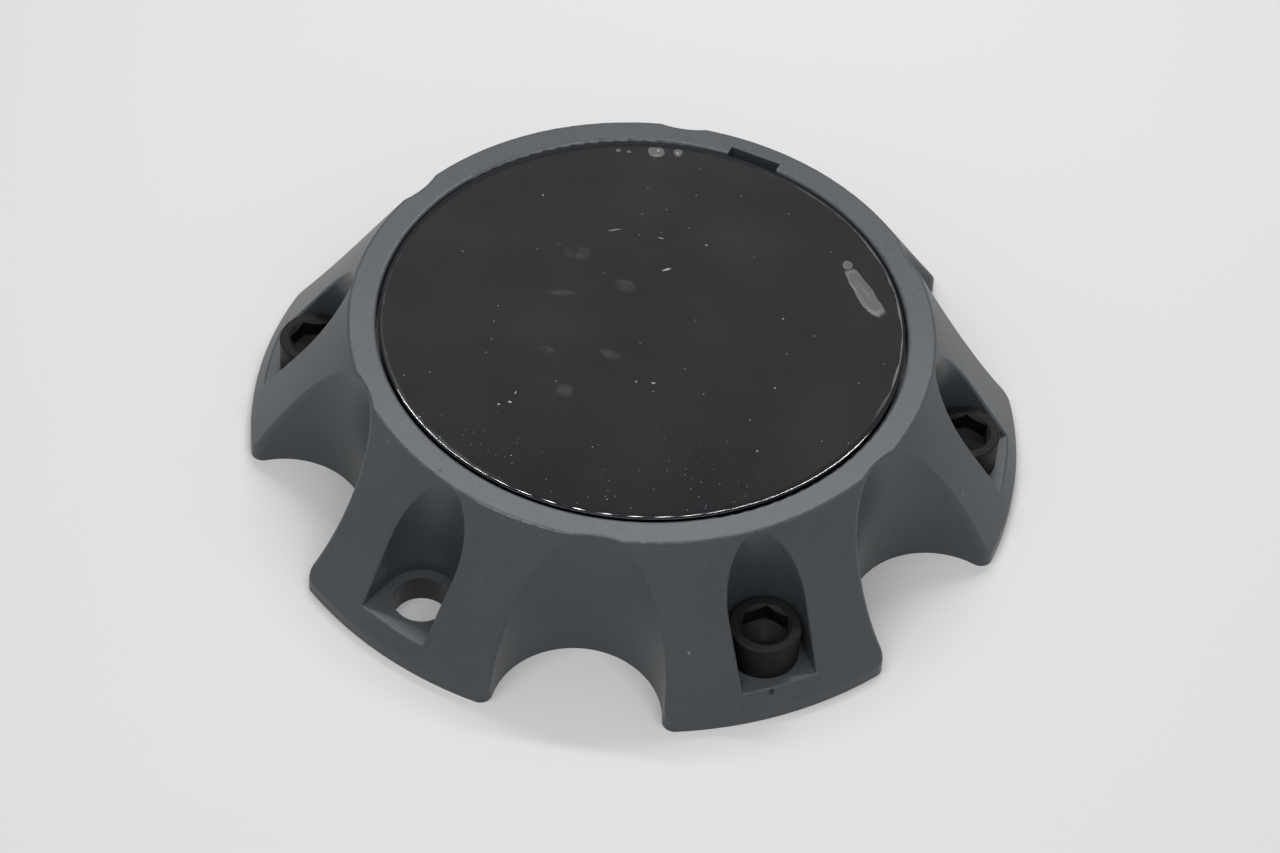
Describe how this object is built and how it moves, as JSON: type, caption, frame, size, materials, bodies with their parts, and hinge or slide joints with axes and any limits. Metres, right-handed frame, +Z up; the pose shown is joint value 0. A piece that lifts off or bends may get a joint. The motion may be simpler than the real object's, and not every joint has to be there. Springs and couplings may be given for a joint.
{
  "type": "wheel center cap",
  "caption": "Flared round wheel center cap with lug gaps, socket-head bolts in drafted pockets and a black badge disc in its top ring.",
  "frame": {"origin": "on the cap's axis, in the plane of the base rim that it stands on", "axes": "+Z up along the axis, out of the wheel; +X through the right-hand bolt; -Y towards the front of the picture"},
  "size_m": [0.145, 0.1406, 0.0299],
  "materials": {
    "cap_paint": "satin grey paint on moulded plastic",
    "badge_black": "glossy black moulded plastic",
    "tape_foam": "dark foam mounting tape",
    "film_clear": "clear protective film",
    "bolt_black": "matte black moulded plastic"
  },
  "bodies": {
    "root": {"cap_body": "cap_paint", "badge_disc": "badge_black", "badge_tape": "tape_foam", "clear_film": "film_clear", "bolt_right": "bolt_black", "bolt_back_right": "bolt_black", "bolt_back_left": "bolt_black", "bolt_left": "bolt_black", "bolt_front_right": "bolt_black"}
  },
  "joints": []
}
